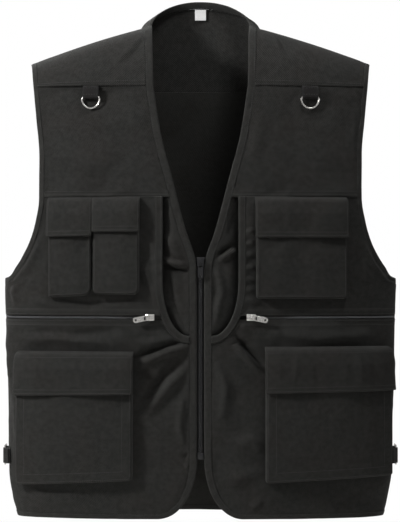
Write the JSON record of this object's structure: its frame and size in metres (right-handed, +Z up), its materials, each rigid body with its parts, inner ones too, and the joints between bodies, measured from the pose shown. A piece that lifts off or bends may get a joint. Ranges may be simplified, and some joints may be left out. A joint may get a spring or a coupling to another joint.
{
  "type": "multi-pocket work vest",
  "caption": "Black sleeveless utility vest with a zip front, flapped chest and lower pockets, zipped hand pockets, bound edges, side adjusters and D-rings.",
  "frame": {"origin": "where the vest sits on the neck: mid depth and centre line, at the height of the shoulder-neck points", "axes": "+Z up, -Y out of the front, +X to the picture's right, which is the wearer's left"},
  "size_m": [0.5475, 0.1495, 0.713],
  "materials": {
    "body_cloth": "black cotton-blend twill, matt",
    "inner_cloth": "black twill inside and under the pockets, matt",
    "binding": "black folded binding with topstitching",
    "webbing": "black woven tape and tab cloth",
    "nickel": "bright nickel-plated metal",
    "black_metal": "dark enamelled zip metal",
    "zip_coil": "dark grey nylon zip coil",
    "label": "white satin label, blank"
  },
  "bodies": {
    "vest": {"yoke": "body_cloth", "back_panel": "inner_cloth", "chest_panel_left": "body_cloth", "chest_panel_right": "body_cloth", "pocket_panel_left": "body_cloth", "pocket_panel_right": "body_cloth", "under_panel_left": "inner_cloth", "under_panel_right": "inner_cloth", "lower_front_left": "body_cloth", "lower_front_right": "body_cloth", "slot_hem_left": "binding", "slot_hem_right": "binding", "armhole_binding_left": "binding", "armhole_binding_right": "binding", "front_hem_binding_left": "binding", "front_hem_binding_right": "binding", "front_edge_binding_left": "binding", "front_edge_binding_right": "binding", "v_neck_binding_left": "binding", "v_neck_binding_right": "binding", "back_neck_binding": "binding", "back_hem_binding_left": "binding", "back_hem_binding_middle": "binding", "back_hem_binding_right": "binding", "chest_left_outer_pouch": "body_cloth", "chest_left_outer_flap": "body_cloth", "chest_left_inner_pouch": "body_cloth", "chest_left_inner_flap": "body_cloth", "chest_right_pouch": "body_cloth", "chest_right_flap": "body_cloth", "lower_left_pouch": "body_cloth", "lower_left_flap": "body_cloth", "lower_right_pouch": "body_cloth", "lower_right_flap": "body_cloth", "front_zip_chain": "zip_coil", "front_zip_tape_left": "webbing", "front_zip_tape_right": "webbing", "front_zip_box": "black_metal", "front_zip_slider": "black_metal", "pocket_zip_left_tape": "webbing", "pocket_zip_left_coil": "zip_coil", "pocket_zip_left_slider": "nickel", "d_ring_tab_left": "webbing", "side_slide_left": "nickel", "side_tab_left": "webbing", "side_strap_left": "webbing", "pocket_zip_right_tape": "webbing", "pocket_zip_right_coil": "zip_coil", "pocket_zip_right_slider": "nickel", "d_ring_tab_right": "webbing", "side_slide_right": "nickel", "side_tab_right": "webbing", "side_strap_right": "webbing", "neck_label": "label"},
    "front_puller": {"front_zip_puller": "black_metal"},
    "left_puller": {"pocket_zip_left_puller": "nickel"},
    "right_puller": {"pocket_zip_right_puller": "nickel"},
    "left_d_ring": {"d_ring_left": "nickel"},
    "right_d_ring": {"d_ring_right": "nickel"}
  },
  "joints": [
    {"name": "front_zip_puller_flip", "type": "hinge", "parent": "vest", "child": "front_puller", "pos_m": [0, -0.0705, -0.32496], "axis": [-1, 0, 0], "range_deg": [0, 165]},
    {"name": "left_zip_puller_flip", "type": "hinge", "parent": "vest", "child": "left_puller", "pos_m": [-0.06943, -0.07176, -0.39917], "axis": [-0.1985, 0.0083, 0.9801], "range_deg": [0, 165]},
    {"name": "right_zip_puller_flip", "type": "hinge", "parent": "vest", "child": "right_puller", "pos_m": [0.06943, -0.07176, -0.39917], "axis": [-0.1985, -0.0083, -0.9801], "range_deg": [0, 165]},
    {"name": "left_d_ring_swing", "type": "hinge", "parent": "vest", "child": "left_d_ring", "pos_m": [-0.1485, -0.05752, -0.10102], "axis": [-0.9925, 0.122, 0], "range_deg": [0, 110]},
    {"name": "right_d_ring_swing", "type": "hinge", "parent": "vest", "child": "right_d_ring", "pos_m": [0.1485, -0.05752, -0.10102], "axis": [-0.9925, -0.122, 0], "range_deg": [0, 110]}
  ]
}
